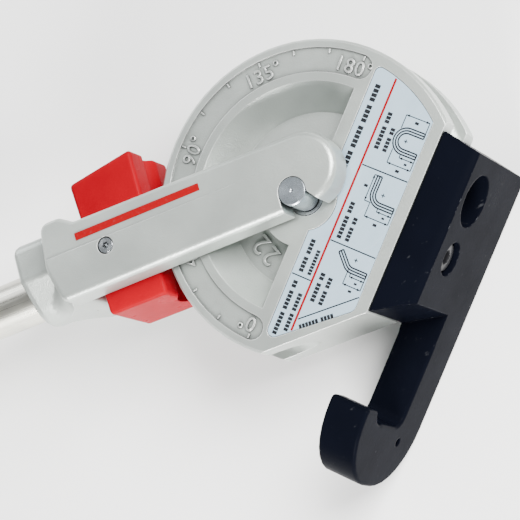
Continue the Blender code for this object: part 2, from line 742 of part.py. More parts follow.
def build_shoe(lever):
    """The red shoe that presses the tube round the former, free to swivel on its sleeve."""
    half = ARM_INNER - WASHER_THICKNESS - 2 * FIT
    shoe = plate("shoe", shoe_outline(), -half, half, parts, lever)
    shoe.location = (-SHOE_RADIAL, SHOE_SWIVEL_Y, MID)
    add_bevel(shoe, SHOE_EDGE, 3)

    groove = cylinder("shoe_groove", TUBE_RADIUS + FIT, -SHOE_TRAIL - PAST, SHOE_LEAD + PAST,
                      cutters, shoe)
    groove.rotation_euler = (math.radians(-90.0), 0, 0)
    groove.location = (SHOE_RADIAL - BEND_RADIUS, 0, 0)
    cut(shoe, groove)
    cut(shoe, cylinder("shoe_bore", SLEEVE_RADIUS + FIT, -half - PAST, half + PAST, cutters, shoe))
    finish(shoe, red_paint)


def star_outline():
    """A six-lobed driver recess."""
    points = []
    for step in range(24):
        angle = math.radians(15.0 * step)
        radius = SHOE_STAR * (1.0 + 0.18 * math.cos(6.0 * angle))
        points.append((radius * math.cos(angle), radius * math.sin(angle)))
    return points


def build_shoe_pivot(lever):
    """The screw, sleeve, washers and nut that the shoe swivels on."""
    top = ARM_OUTER - FIT
    seat = top - SHOE_HEAD_HEIGHT + FIT
    end = -ARM_OUTER + FIT
    head = SHOE_HEAD_RADIUS
    profile = [(0, top), (head - 0.0005, top), (head, top - 0.0005), (head, seat)]
    profile += [(SHOE_SCREW_RADIUS, seat), (SHOE_SCREW_RADIUS, end), (0, end)]
    screw = turned("shoe_screw", profile, parts, lever)
    star = plate("shoe_screw_star", star_outline(), top - 0.0022, top + PAST, cutters, lever)
    cut(screw, star)
    finish(screw, bright_steel)

    bore = SHOE_SCREW_RADIUS + FIT
    reach = ARM_INNER - FIT
    sleeve = ring("shoe_sleeve", bore, SLEEVE_RADIUS, -reach, reach, parts, lever)
    finish(sleeve, bronze)

    washer_hole = SLEEVE_RADIUS + FIT
    pieces = [screw, star, sleeve]
    for side, name in ((1, "front"), (-1, "rear")):
        outer = reach * side
        inner = (reach - WASHER_THICKNESS) * side
        washer = ring("shoe_washer_" + name, washer_hole, WASHER_RADIUS, min(outer, inner),
                      max(outer, inner), parts, lever)
        finish(washer, bright_steel)
        pieces.append(washer)

    nut_low = -ARM_OUTER
    nut = cylinder("shoe_nut", NUT_RADIUS, nut_low, nut_low + NUT_HEIGHT, parts, lever, sides=6)
    nut_bore = cylinder("nut_bore", bore, nut_low - PAST, nut_low + 2 * NUT_HEIGHT, cutters, lever)
    cut(nut, nut_bore)
    finish(nut, bright_steel)
    pieces += [nut, nut_bore]
    for piece in pieces:
        piece.location = (-SHOE_RADIAL, SHOE_SWIVEL_Y, MID)


def build_handle(lever):
    """The steel tube handle with its grip, end cap and lock screw."""
    start = BODY_INNER + BODY_WEB + FIT
    inside = HANDLE_RADIUS - HANDLE_WALL
    tube = ring("handle_tube", inside, HANDLE_RADIUS, 0, HANDLE_LENGTH, parts, lever)
    finish(tube, plated_tube)

    grip_low = HANDLE_LENGTH - GRIP_LENGTH
    bore = HANDLE_RADIUS + FIT
    grip_radius = bore + GRIP_WALL
    grip_top = HANDLE_LENGTH - FIT
    profile = [(bore, grip_top), (grip_radius - GRIP_ROUND, grip_top)]
    profile += [(grip_radius, grip_top - GRIP_ROUND)]
    profile += [(grip_radius, grip_low + GRIP_ROUND), (grip_radius - GRIP_ROUND, grip_low)]
    profile += [(bore, grip_low)]
    grip = turned("handle_grip", profile, parts, lever, closed=True)
    finish(grip, black_rubber)

    cap_low = HANDLE_LENGTH + FIT
    cap_top = cap_low + CAP_HEIGHT
    plug = inside - FIT
    profile = [(0, cap_top), (CAP_RADIUS - 0.002, cap_top), (CAP_RADIUS, cap_top - 0.002)]
    profile += [(CAP_RADIUS, cap_low), (plug, cap_low), (plug, cap_low - CAP_PLUG)]
    profile += [(0, cap_low - CAP_PLUG)]
    cap = turned("handle_end_cap", profile, parts, lever)
    finish(cap, black_rubber)

    for piece in (tube, grip, cap):
        piece.location = (-start, ARM_OFFSET, MID)
        piece.rotation_euler = (0, math.radians(-90.0), 0)

    lock_top = -HANDLE_RADIUS - 2 * FIT
    lock_low = lock_top - LOCK_LENGTH
    lock = cylinder("handle_lock_screw", LOCK_RADIUS, lock_low, lock_top, parts, lever)
    hexagon = cylinder("lock_hex", LOCK_HEX, lock_low - PAST, lock_low + LOCK_LENGTH / 2, cutters,
                       lever, sides=6)
    for piece in (lock, hexagon):
        piece.location = (-BODY_OUTER + LOCK_FROM_END, ARM_OFFSET, MID)
    cut(lock, hexagon)
    finish(lock, dark_screw)


for thing in list(bpy.data.objects):
    bpy.data.objects.remove(thing)

parts = add_collection("tube_bender")
cutters = add_collection("cutters")

cast_aluminium = add_material("cast_aluminium", (0.60, 0.62, 0.60), 0.75, 0.42)
label_foil = add_material("label_foil", (0.58, 0.66, 0.70), 0.20, 0.35)
black_steel = add_material("black_steel", (0.035, 0.037, 0.045), 0.30, 0.38)
dark_screw = add_material("dark_screw", (0.03, 0.03, 0.035), 0.80, 0.40)
bright_steel = add_material("bright_steel", (0.62, 0.67, 0.72), 1.00, 0.25)
bronze = add_material("bronze", (0.55, 0.38, 0.18), 1.00, 0.35)
red_paint = add_material("red_paint", (0.72, 0.02, 0.03), 0.00, 0.28)
plated_tube = add_material("plated_tube", (0.56, 0.55, 0.50), 0.90, 0.30)
black_rubber = add_material("black_rubber", (0.02, 0.02, 0.02), 0.00, 0.70)

lever_frame = bpy.data.objects.new("lever_frame", None)
parts.objects.link(lever_frame)
lever_frame.rotation_euler = (0, 0, LEVER_TURN)

build_former()
build_label()
build_hook()
build_hook_fixings()
build_pivot()
build_yoke(lever_frame)
build_shoe(lever_frame)
build_shoe_pivot(lever_frame)
build_handle(lever_frame)
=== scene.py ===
"""Finishes, printed marks and studio for a hand tube bender.

The bender lies on its back: the dial faces up, the hook is at the right and the lever's
handle points to the left. All sizes are in metres.
"""

import json
import math

import bmesh
import bpy
from mathutils import Matrix, Vector


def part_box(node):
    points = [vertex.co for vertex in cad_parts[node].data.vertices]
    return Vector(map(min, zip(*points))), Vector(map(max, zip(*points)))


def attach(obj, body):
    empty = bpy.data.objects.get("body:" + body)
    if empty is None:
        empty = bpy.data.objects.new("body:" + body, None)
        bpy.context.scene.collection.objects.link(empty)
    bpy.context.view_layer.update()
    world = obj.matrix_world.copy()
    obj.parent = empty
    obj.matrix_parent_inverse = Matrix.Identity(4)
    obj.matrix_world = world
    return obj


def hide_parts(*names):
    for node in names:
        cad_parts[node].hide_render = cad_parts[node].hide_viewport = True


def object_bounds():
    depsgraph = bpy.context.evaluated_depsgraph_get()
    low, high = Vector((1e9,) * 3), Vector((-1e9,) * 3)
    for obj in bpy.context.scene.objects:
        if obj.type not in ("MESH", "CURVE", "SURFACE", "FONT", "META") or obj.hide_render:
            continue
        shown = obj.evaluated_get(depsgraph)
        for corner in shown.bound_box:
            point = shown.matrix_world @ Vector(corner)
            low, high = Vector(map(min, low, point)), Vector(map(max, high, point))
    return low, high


bl_info = {
    "name": "Hand tube bender",
    "version": (1, 0, 0),
    "blender": (4, 5, 0),
    "location": "View3D > Sidebar > Bender",
    "description": "Finishes, dial marks, label print and studio for a hand tube bender",
    "category": "Object",
}

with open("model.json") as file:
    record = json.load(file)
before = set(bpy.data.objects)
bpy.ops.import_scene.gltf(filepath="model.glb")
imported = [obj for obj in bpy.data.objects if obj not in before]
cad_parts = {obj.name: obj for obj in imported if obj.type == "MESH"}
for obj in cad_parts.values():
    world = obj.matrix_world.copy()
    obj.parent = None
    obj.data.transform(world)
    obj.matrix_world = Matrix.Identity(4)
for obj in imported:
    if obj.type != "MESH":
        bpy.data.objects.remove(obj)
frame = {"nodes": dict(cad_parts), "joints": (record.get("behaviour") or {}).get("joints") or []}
cad_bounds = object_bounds()

JOINTS = {joint["name"]: joint for joint in frame["joints"]}
LEVER_ACROSS = Vector(JOINTS["unhook"]["axis"]).normalized()
LEVER_ALONG = Vector((LEVER_ACROSS.y, -LEVER_ACROSS.x, 0.0))
FORMER_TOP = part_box("former")[1].z
LABEL_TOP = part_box("label_plate")[1].z
ARM_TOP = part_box("lever_yoke")[1].z
TABLE_HEIGHT = cad_bounds[0][2]

# Recesses in the former and the relief that stands in them.
DIAL_DEPTH = 0.0012
POCKET_DEPTH = 0.015
MARK_RELIEF = 0.0012
MARK_PLACE = Vector((-0.0165, -0.0355))
MARK_HEIGHT = 0.012
TICK_WIDTH = 0.0009
RELIEF_ROOT = 0.0003
PRINT_ROOT = 0.00002
CAPITAL_SHARE = 0.73

# Colours of worn and bare places, and of painted shade in hollows.
RUBBED_ALUMINIUM = (0.72, 0.73, 0.72)
# Painted shade: a near-black colour for the casting's hollows.
HOLLOW_SHADE = (0.055, 0.06, 0.058)
SHADED_METAL = (0.05, 0.05, 0.05)
SCRATCHED_FILM = (0.40, 0.48, 0.54)
BARE_STEEL = (0.30, 0.31, 0.33)
WORN_RED = (0.26, 0.004, 0.008)

# Limits for smoothing a faceted node: a merge distance and two angles between faces.
MERGE = 0.000002
FLAT = math.radians(0.4)
SHARP = math.radians(32.0)


class CastingSettings(bpy.types.PropertyGroup):
    """The die-cast former and lever."""

    colour: bpy.props.FloatVectorProperty(
        name="Casting colour",
        description="Colour of the blasted aluminium",
        subtype="COLOR",
        default=(0.46, 0.495, 0.470),
        min=0.0,
        max=1.0,
    )
    hollow_colour: bpy.props.FloatVectorProperty(
        name="Second casting colour",
        description="Darker tone that clouds the aluminium",
        subtype="COLOR",
        default=(0.36, 0.39, 0.37),
        min=0.0,
        max=1.0,
    )
    roughness: bpy.props.FloatProperty(
        name="Casting roughness",
        description="How dull the blasted surface is",
        default=0.37,
        min=0.0,
        max=1.0,
    )
    grain: bpy.props.FloatProperty(
        name="Blast grain",
        description="Distance between the grains that blasting leaves",
        default=0.0009,
        unit="LENGTH",
    )


class DialSettings(bpy.types.PropertyGroup):
    """The raised numbers and ticks of the dial."""

    number_radius: bpy.props.FloatProperty(
        name="Number radius",
        description="Distance of the numbers' middle from the pivot",
        default=0.0762,
        unit="LENGTH",
    )
    number_height: bpy.props.FloatProperty(
        name="Number height",
        description="Height of the dial's digits",
        default=0.0088,
        unit="LENGTH",
    )
    tick_outer: bpy.props.FloatProperty(
        name="Tick end",
        description="Outer end of the ticks, from the pivot",
        default=0.0843,
        unit="LENGTH",
    )
    tick_length: bpy.props.FloatProperty(
        name="Tick length",
        description="Length of a tick",
        default=0.0026,
        unit="LENGTH",
    )
    relief: bpy.props.FloatProperty(
        name="Relief",
        description="How far numbers and ticks stand out of the dial",
        default=0.0009,
        unit="LENGTH",
    )


class LabelSettings(bpy.types.PropertyGroup):
    """The instruction label and its print."""

    colour: bpy.props.FloatVectorProperty(
        name="Film colour",
        description="Colour of the label's film",
        subtype="COLOR",
        default=(0.27, 0.36, 0.43),
        min=0.0,
        max=1.0,
    )
    print_colour: bpy.props.FloatVectorProperty(
        name="Print colour",
        description="Colour of the rules, the drawings and the rows of blocks",
        subtype="COLOR",
        default=(0.010, 0.011, 0.013),
        min=0.0,
        max=1.0,
    )
    line_colour: bpy.props.FloatVectorProperty(
        name="Line colour",
        description="Colour of the long line and of the lever's stripe",
        subtype="COLOR",
        default=(0.20, 0.0006, 0.003),
        min=0.0,
        max=1.0,
    )
    ink: bpy.props.FloatProperty(
        name="Ink thickness",
        description="How far the print stands on the film",
        default=0.00006,
        unit="LENGTH",
    )


class HookSettings(bpy.types.PropertyGroup):
    """The black steel hook block."""

    colour: bpy.props.FloatVectorProperty(
        name="Hook colour",
        description="Colour of the lacquered steel",
        subtype="COLOR",
        default=(0.0022, 0.0027, 0.0052),
        min=0.0,
        max=1.0,
    )
    roughness: bpy.props.FloatProperty(
        name="Hook roughness",
        description="How dull the lacquer is",
        default=0.30,
        min=0.0,
        max=1.0,
    )
    gloss: bpy.props.FloatProperty(
        name="Hook gloss",
        description="Strength of the lacquer's reflections",
        default=0.006,
        min=0.0,
        max=1.0,
    )


class ShoeSettings(bpy.types.PropertyGroup):
    """The red pressure shoe."""

    colour: bpy.props.FloatVectorProperty(
        name="Shoe colour",
        description="Colour of the shoe's lacquer",
        subtype="COLOR",
        default=(0.29, 0.0003, 0.007),
        min=0.0,
        max=1.0,
    )
    roughness: bpy.props.FloatProperty(
        name="Shoe roughness",
        description="How dull the lacquer is",
        default=0.24,
        min=0.0,
        max=1.0,
    )
    gloss: bpy.props.FloatProperty(
        name="Shoe gloss",
        description="Strength of the lacquer's reflections",
        default=0.025,
        min=0.0,
        max=1.0,
    )


class HandleSettings(bpy.types.PropertyGroup):
    """The handle tube and its grip."""

    rib_count: bpy.props.IntProperty(
        name="Grip ribs",
        description="Number of ribs round the grip",
        default=14,
        min=0,
    )
    rib_height: bpy.props.FloatProperty(
        name="Rib height",
        description="How far a rib stands out of the grip",
        default=0.0007,
        unit="LENGTH",
    )


class StageSettings(bpy.types.PropertyGroup):
    """Camera, lights and floor."""

    target: bpy.props.FloatVectorProperty(
        name="Target",
        description="Point that the camera looks at",
        subtype="XYZ",
        default=(-0.0112, -0.0419, 0.0665),
        unit="LENGTH",
    )
    distance: bpy.props.FloatProperty(
        name="Distance",
        description="Camera's distance from its target",
        default=1.2214,
        unit="LENGTH",
    )
    azimuth: bpy.props.FloatProperty(
        name="Azimuth",
        description="Camera's direction round the vertical",
        default=math.radians(93.8),
        subtype="ANGLE",
    )
    elevation: bpy.props.FloatProperty(
        name="Elevation",
        description="Camera's height as an angle",
        default=math.radians(64.4),
        subtype="ANGLE",
    )
    roll: bpy.props.FloatProperty(
        name="Roll",
        description="Camera's turn about its own axis",
        default=math.radians(-70.8),
        subtype="ANGLE",
    )
    lens: bpy.props.FloatProperty(
        name="Lens",
        description="Focal length on a 36 mm sensor, in millimetres",
        default=152.3,
    )
    floor_colour: bpy.props.FloatVectorProperty(
        name="Floor colour",
        description="Colour of the table",
        subtype="COLOR",
        default=(0.93, 0.93, 0.93),
        min=0.0,
        max=1.0,
    )


SETTINGS = {
    "bender_casting": CastingSettings,
    "bender_dial": DialSettings,
    "bender_label": LabelSettings,
    "bender_hook": HookSettings,
    "bender_shoe": ShoeSettings,
    "bender_handle": HandleSettings,
    "bender_stage": StageSettings,
}


class Finish:
    """A material under construction, with short calls for the nodes that it needs."""

    def __init__(self, name, metallic=0.0, roughness=0.5):
        self.material = bpy.data.materials.new(name)
        self.material.use_nodes = True
        self.nodes = self.material.node_tree.nodes
        self.links = self.material.node_tree.links
        self.shader = self.nodes["Principled BSDF"]
        self.shader.inputs["Metallic"].default_value = metallic
        self.shader.inputs["Roughness"].default_value = roughness
        coordinates = self.nodes.new("ShaderNodeTexCoord")
        self.position = coordinates.outputs["Object"]

    def mapped(self, scale=(1, 1, 1), turn=0.0, shift=(0, 0, 0)):
        """The object's coordinates, shifted, turned about Z and then stretched."""
        turned = self.nodes.new("ShaderNodeVectorRotate")
        turned.rotation_type = "Z_AXIS"
        turned.inputs["Angle"].default_value = turn
        turned.inputs["Center"].default_value = shift
        self.links.new(self.position, turned.inputs["Vector"])
        moved = self.nodes.new("ShaderNodeVectorMath")
        moved.operation = "SUBTRACT"
        moved.inputs[1].default_value = shift
        self.links.new(turned.outputs["Vector"], moved.inputs[0])
        stretched = self.nodes.new("ShaderNodeVectorMath")
        stretched.operation = "MULTIPLY"
        stretched.inputs[1].default_value = scale
        self.links.new(moved.outputs["Vector"], stretched.inputs[0])
        return stretched.outputs["Vector"]

    def noise(self, size, detail=3.0, vector=None):
        """Soft noise with features of a given size."""
        node = self.nodes.new("ShaderNodeTexNoise")
        node.inputs["Scale"].default_value = 1.0 / size
        node.inputs["Detail"].default_value = detail
        self.links.new(vector or self.position, node.inputs["Vector"])
        return node.outputs["Fac"]

    def rings(self, spacing, vector):
        """Fine circles round the Z axis of the given coordinates."""
        node = self.nodes.new("ShaderNodeTexWave")
        node.wave_type = "RINGS"
        node.rings_direction = "Z"
        node.inputs["Scale"].default_value = 0.314 / spacing
        node.inputs["Distortion"].default_value = 0.6
        node.inputs["Detail"].default_value = 2.0
        self.links.new(vector, node.inputs["Vector"])
        return node.outputs["Fac"]

    def ranged(self, value, low, high, to_low, to_high):
        """A value moved from one range to another."""
        node = self.nodes.new("ShaderNodeMapRange")
        for name, number in zip(("From Min", "From Max", "To Min", "To Max"),
                                (low, high, to_low, to_high)):
            node.inputs[name].default_value = number
        self.links.new(value, node.inputs["Value"])
        return node.outputs["Result"]

    def product(self, first, second):
        """Two values multiplied."""
        node = self.nodes.new("ShaderNodeMath")
        node.operation = "MULTIPLY"
        self.links.new(first, node.inputs[0])
        self.links.new(second, node.inputs[1])
        return node.outputs["Value"]

    def rounding(self, radius):
        """The surface's direction as if its sharp edges were rounded."""
        node = self.nodes.new("ShaderNodeBevel")
        node.samples = 6
        node.inputs["Radius"].default_value = radius
        return node.outputs["Normal"]

    def edges(self, radius, start=0.985, full=0.93):
        """How close a point is to a sharp edge, from 0 to 1."""
        surface = self.nodes.new("ShaderNodeNewGeometry")
        dot = self.nodes.new("ShaderNodeVectorMath")
        dot.operation = "DOT_PRODUCT"
        self.links.new(self.rounding(radius), dot.inputs[0])
        self.links.new(surface.outputs["Normal"], dot.inputs[1])
        return self.ranged(dot.outputs["Value"], start, full, 0.0, 1.0)

    def hollows(self, reach):
        """How closed in a point is, from 0 to 1."""
        node = self.nodes.new("ShaderNodeAmbientOcclusion")
        node.samples = 6
        node.inputs["Distance"].default_value = reach
        return self.ranged(node.outputs["AO"], 0.95, 0.45, 0.0, 1.0)

    def blended(self, amount, first, second):
        """A colour between two colours or colour outputs."""
        node = self.nodes.new("ShaderNodeMix")
        node.data_type = "RGBA"
        self.links.new(amount, node.inputs["Factor"])
        for socket, colour in ((node.inputs[6], first), (node.inputs[7], second)):
            if isinstance(colour, bpy.types.NodeSocket):
                self.links.new(colour, socket)
            else:
                socket.default_value = (*colour, 1.0)
        return node.outputs[2]

    def set(self, socket, value):
        """Feeds a shader socket."""
        self.links.new(value, self.shader.inputs[socket])

    def bump(self, height, distance, strength=1.0, below=None):
        """Relief on top of any relief below it."""
        node = self.nodes.new("ShaderNodeBump")
        node.inputs["Distance"].default_value = distance
        node.inputs["Strength"].default_value = strength
        self.links.new(height, node.inputs["Height"])
        if below:
            self.links.new(below, node.inputs["Normal"])
        return node.outputs["Normal"]


def darker(colour, share):
    """A colour scaled by a share."""
    return tuple(channel * share for channel in colour)


def casting_finish(settings):
    """Blasted die-cast aluminium: cloudy tone, fine grain, brighter rubbed edges, painted shade in
    hollows.
    """
    finish = Finish("blasted_aluminium", metallic=0.66)
    clouds = finish.noise(0.045, 4.0)
    cloudy = finish.ranged(clouds, 0.35, 0.68, 0.0, 1.0)
    body = finish.blended(cloudy, tuple(settings.colour), tuple(settings.hollow_colour))
    patches = finish.ranged(finish.noise(0.006, 3.0), 0.45, 0.75, 0.0, 0.35)
    body = finish.blended(patches, body, darker(settings.colour, 0.88))
    rubbed = finish.product(finish.edges(0.0010), finish.ranged(clouds, 0.3, 0.7, 0.3, 1.0))
    body = finish.blended(rubbed, body, RUBBED_ALUMINIUM)
    # Painted shade: ambient occlusion darkens the hollows towards a near-black colour, more in
    # some clouds than in others.
    hollow_shade = finish.product(finish.hollows(0.0035), finish.ranged(clouds, 0.2, 0.6, 0.55, 0.95))
    finish.set("Base Color", finish.blended(hollow_shade, body, HOLLOW_SHADE))
    grain = finish.noise(settings.grain, 2.0)
    finish.set("Roughness", finish.ranged(grain, 0.3, 0.7, settings.roughness - 0.05,
                                          settings.roughness + 0.07))
    waves = finish.bump(finish.noise(0.012, 1.0), 0.0006, 0.30, finish.rounding(0.0007))
    finish.set("Normal", finish.bump(grain, 0.00018, 0.60, waves))
    return finish.material


def label_finish(settings):
    """Printed film: smooth, with faint dirt and fine scratches."""
    finish = Finish("label_film", roughness=0.34)
    dirt = finish.ranged(finish.noise(0.011, 5.0), 0.50, 0.80, 0.0, 0.5)
    scratched = finish.noise(0.0011, 2.0, finish.mapped((1.0, 0.03, 1.0), 0.5))
    scratches = finish.ranged(scratched, 0.66, 0.72, 0.0, 0.35)
    body = finish.blended(dirt, tuple(settings.colour), darker(settings.colour, 0.86))
    finish.set("Base Color", finish.blended(scratches, body, SCRATCHED_FILM))
    finish.set("Roughness", finish.ranged(finish.noise(0.004), 0.3, 0.7, 0.28, 0.42))
    finish.set("Normal", finish.bump(finish.noise(0.006, 2.0), 0.0003, 0.15))
    return finish.material


def ink_finish(name, colour):
    """Screen-printed ink, a little worn."""
    finish = Finish(name)
    finish.shader.inputs["Specular IOR Level"].default_value = 0.06
    worn = finish.ranged(finish.noise(0.0016, 4.0), 0.56, 0.78, 0.0, 0.55)
    paler = tuple(channel * 0.8 + 0.04 for channel in colour)
    finish.set("Base Color", finish.blended(worn, colour, paler))
    finish.set("Roughness", finish.ranged(finish.noise(0.003), 0.3, 0.7, 0.36, 0.52))
    return finish.material


def lacquer_finish(name, colour, roughness, bare, gloss):
    """Lacquer on metal: orange peel, small scuffs, and bare metal on the sharpest edges."""
    finish = Finish(name)
    finish.shader.inputs["Specular IOR Level"].default_value = gloss
    clouds = finish.noise(0.028, 4.0)
    body = finish.blended(finish.ranged(clouds, 0.35, 0.7, 0.0, 1.0), colour,
                          darker(colour, 0.82))
    scuffed = finish.noise(0.0024, 5.0, finish.mapped((1.0, 0.35, 1.0), 0.7))
    scuffs = finish.ranged(scuffed, 0.68, 0.80, 0.0, 0.07)
    body = finish.blended(scuffs, body, bare)
    chipped = finish.ranged(finish.noise(0.0032, 4.0), 0.58, 0.74, 0.0, 0.40)
    chips = finish.product(finish.edges(0.0004), chipped)
    finish.set("Base Color", finish.blended(chips, body, bare))
    finish.set("Roughness", finish.ranged(clouds, 0.3, 0.7, roughness - 0.04, roughness + 0.08))
    peel = finish.bump(finish.noise(0.0016, 1.5), 0.00012, 0.35, finish.rounding(0.0012))
    finish.set("Normal", finish.bump(finish.noise(0.020, 1.0), 0.0005, 0.15, peel))
    return finish.material


def turned_finish(name, colour, roughness, centre=(0, 0, 0)):
    """Metal turned on a lathe: fine circles about its axis."""
    finish = Finish(name, metallic=1.0)
    circles = finish.rings(0.00042, finish.mapped(shift=centre))
    clouds = finish.noise(0.004, 4.0)
    body = finish.blended(finish.ranged(clouds, 0.35, 0.7, 0.0, 1.0), colour,
                          darker(colour, 0.80))
    shaded = finish.ranged(finish.hollows(0.0025), 0.15, 1.0, 0.0, 0.92)
    finish.set("Base Color", finish.blended(shaded, body, SHADED_METAL))
    finish.set("Roughness", finish.ranged(circles, 0.0, 1.0, roughness - 0.05, roughness + 0.06))
    finish.set("Normal", finish.bump(circles, 0.00004, 0.5))
    return finish.material


def tube_finish():
    """Plated tube: fine draw lines along its length and dull clouds."""
    finish = Finish("plated_steel", metallic=1.0)
    turn = -math.atan2(LEVER_ALONG.y, LEVER_ALONG.x)
    lines = finish.noise(0.0009, 3.0, finish.mapped((0.015, 1.0, 1.0), turn))
    clouds = finish.ranged(finish.noise(0.018, 5.0), 0.40, 0.70, 0.0, 1.0)
    body = finish.blended(clouds, (0.74, 0.73, 0.64), (0.60, 0.59, 0.53))
    dull = finish.ranged(lines, 0.35, 0.70, 0.0, 0.35)
    finish.set("Base Color", finish.blended(dull, body, (0.48, 0.475, 0.43)))
    finish.set("Roughness", finish.ranged(lines, 0.3, 0.7, 0.24, 0.38))
    finish.set("Normal", finish.bump(lines, 0.00006, 0.4))
    return finish.material


def rubber_finish():
    """Matt black rubber with dust in its pores."""
    finish = Finish("grip_rubber")
    finish.shader.inputs["Specular IOR Level"].default_value = 0.12
    dust = finish.ranged(finish.noise(0.008, 6.0), 0.50, 0.80, 0.0, 0.5)
    finish.set("Base Color", finish.blended(dust, (0.007, 0.007, 0.008), (0.020, 0.020, 0.020)))
    finish.set("Roughness", finish.ranged(finish.noise(0.003), 0.3, 0.7, 0.58, 0.76))
    finish.set("Normal", finish.bump(finish.noise(0.0007, 2.0), 0.00012, 0.6))
    return finish.material


def paint_node(name, material):
    """Gives a CAD node its finish."""
    slots = frame["nodes"][name].material_slots
    if not slots:
        raise RuntimeError(name + " has no material slot")
    for slot in slots:
        slot.material = material


def add_piece(name, work, material, body):
    """Turns a bmesh into a piece that rides on a body."""
    mesh = bpy.data.meshes.new(name)
    work.to_mesh(mesh)
    work.free()
    mesh.materials.append(material)
    piece = bpy.data.objects.new(name, mesh)
    bpy.context.scene.collection.objects.link(piece)
    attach(piece, body)
    return piece


def flat_regions(work):
    """Each face's flat region, with every region's summed area times its direction."""
    region_of = {}
    sums = []
    for first in work.faces:
        if first in region_of:
            continue
        region_of[first] = len(sums)
        total = Vector()
        waiting = [first]
        while waiting:
            face = waiting.pop()
            total += face.normal * face.calc_area()
            for edge in face.edges:
                if edge.calc_face_angle(math.pi) > FLAT:
                    continue
                for other in edge.link_faces:
                    if other not in region_of:
                        region_of[other] = len(sums)
                        waiting.append(other)
        sums.append(total)
    return region_of, sums


def corner_normals(work):
    """A direction for every face corner: round sides smooth, flats flat, edges sharp."""
    region_of, sums = flat_regions(work)
    normals = []
    for first in work.faces:
        for vertex in first.verts:
            fan = {first}
            waiting = [first]
            while waiting:
                face = waiting.pop()
                for edge in face.edges:
                    if vertex not in edge.verts or edge.calc_face_angle(math.pi) > SHARP:
                        continue
                    for other in edge.link_faces:
                        if other not in fan:
                            fan.add(other)
                            waiting.append(other)
            total = Vector()
            for region in sorted({region_of[face] for face in fan}):
                total += sums[region]
            normals.append(total.normalized())
    return normals


def dress(node, name, material, body):
    """Puts a smooth-sided copy in the place of a faceted CAD node."""
    source = frame["nodes"][node]
    work = bmesh.new()
    work.from_mesh(source.data)
    work.transform(source.matrix_world)
    bmesh.ops.remove_doubles(work, verts=work.verts, dist=MERGE)
    work.normal_update()
    normals = corner_normals(work)
    piece = add_piece(name, work, material, body)
    piece.data.shade_smooth()
    piece.data.normals_split_custom_set(normals)
    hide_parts(node)
    return piece


def circle_points(centre, radius, start, end, steps):
    """Points on an arc, with its angles in degrees."""
    points = []
    for step in range(steps + 1):
        angle = math.radians(start + (end - start) * step / steps)
        offset = Vector((math.cos(angle), math.sin(angle))) * radius
        points.append(Vector(centre) + offset)
    return points


def add_drawn_piece(name, work, material, body):
    """A piece from drawn strokes and figures, with all faces turned outwards."""
    bmesh.ops.recalc_face_normals(work, faces=work.faces)
    return add_piece(name, work, material, body)


def add_stroke(work, points, width, low, high):
    """A flat stroke of even width along a line of points."""
    points = [Vector(point) for point in points]
    sections = []
    for index, point in enumerate(points):
        before = points[max(index - 1, 0)]
        after = points[min(index + 1, len(points) - 1)]
        along = (after - before).normalized()
        across = Vector((-along.y, along.x)) * width / 2
        corners = (point + across, point - across)
        top = [work.verts.new((*corner, high)) for corner in corners]
        bottom = [work.verts.new((*corner, low)) for corner in corners]
        sections.append((top[0], top[1], bottom[1], bottom[0]))
    for one, two in zip(sections, sections[1:]):
        for side in range(4):
            after = (side + 1) % 4
            work.faces.new((one[side], one[after], two[after], two[side]))
    work.faces.new(sections[0])
    work.faces.new(sections[-1])


def add_figures(work, text, place, turn, height, low, high, spacing):
    """Figures as a thin solid, centred on a place and turned about Z."""
    curve = bpy.data.curves.new("figures", "FONT")
    curve.body = text
    curve.size = height / CAPITAL_SHARE
    curve.align_x = "CENTER"
    curve.align_y = "CENTER"
    curve.resolution_u = 3
    curve.space_character = spacing
    curve.extrude = (high - low) / 2
    drawn = bpy.data.objects.new("figures", curve)
    bpy.context.scene.collection.objects.link(drawn)
    depsgraph = bpy.context.evaluated_depsgraph_get()
    mesh = bpy.data.meshes.new_from_object(drawn.evaluated_get(depsgraph))
    bpy.data.objects.remove(drawn)
    bpy.data.curves.remove(curve)
    move = Matrix.Translation((*place, (low + high) / 2)) @ Matrix.Rotation(turn, 4, "Z")
    mesh.transform(move)
    work.from_mesh(mesh)
    bpy.data.meshes.remove(mesh)


def dial_direction(degrees):
    """The direction of a dial reading, and the turn of its figures."""
    angle = math.radians(270.0 - degrees)
    return Vector((math.cos(angle), math.sin(angle))), angle - math.pi / 2


def lever_point(along, across):
    """A point of the lever's own plan, from its pivot."""
    return (LEVER_ALONG * along + LEVER_ACROSS * across).to_2d()


class BENDER_OT_castings(bpy.types.Operator):
    """Give the former and the lever their blasted aluminium"""

    bl_idname = "bender.castings"
    bl_label = "Castings"

    def execute(self, context):
        material = casting_finish(context.scene.bender_casting)
        for node in ("former", "lever_yoke"):
            paint_node(node, material)
        dress("former", "former_casting", material, "former_assembly")
        dress("lever_yoke", "lever_casting", material, "lever")
        return {"FINISHED"}


class BENDER_OT_dial(bpy.types.Operator):
    """Raise the dial's numbers and ticks"""

    bl_idname = "bender.dial"
    bl_label = "Dial"

    def execute(self, context):
        settings = context.scene.bender_dial
        floor = FORMER_TOP - DIAL_DEPTH
        top = floor + settings.relief
        sunk = floor - RELIEF_ROOT
        material = bpy.data.materials["blasted_aluminium"]

        numbers = bmesh.new()
        for degrees, nudge in ((0, 3.0), (45, 0.0), (90, 0.0), (135, 0.0), (180, -3.0)):
            direction, turn = dial_direction(degrees + nudge)
            place = direction * settings.number_radius
            text = str(degrees) + "\N{DEGREE SIGN}"
            add_figures(numbers, text, place, turn, settings.number_height, sunk, top, 1.05)
        add_drawn_piece("dial_numbers", numbers, material, "former_assembly")

        ticks = bmesh.new()
        for degrees in range(0, 181, 15):
            direction, _ = dial_direction(degrees)
            inner = direction * (settings.tick_outer - settings.tick_length)
            outer = direction * settings.tick_outer
            add_stroke(ticks, (inner, outer), TICK_WIDTH, sunk, top)
        add_drawn_piece("dial_ticks", ticks, material, "former_assembly")
        return {"FINISHED"}


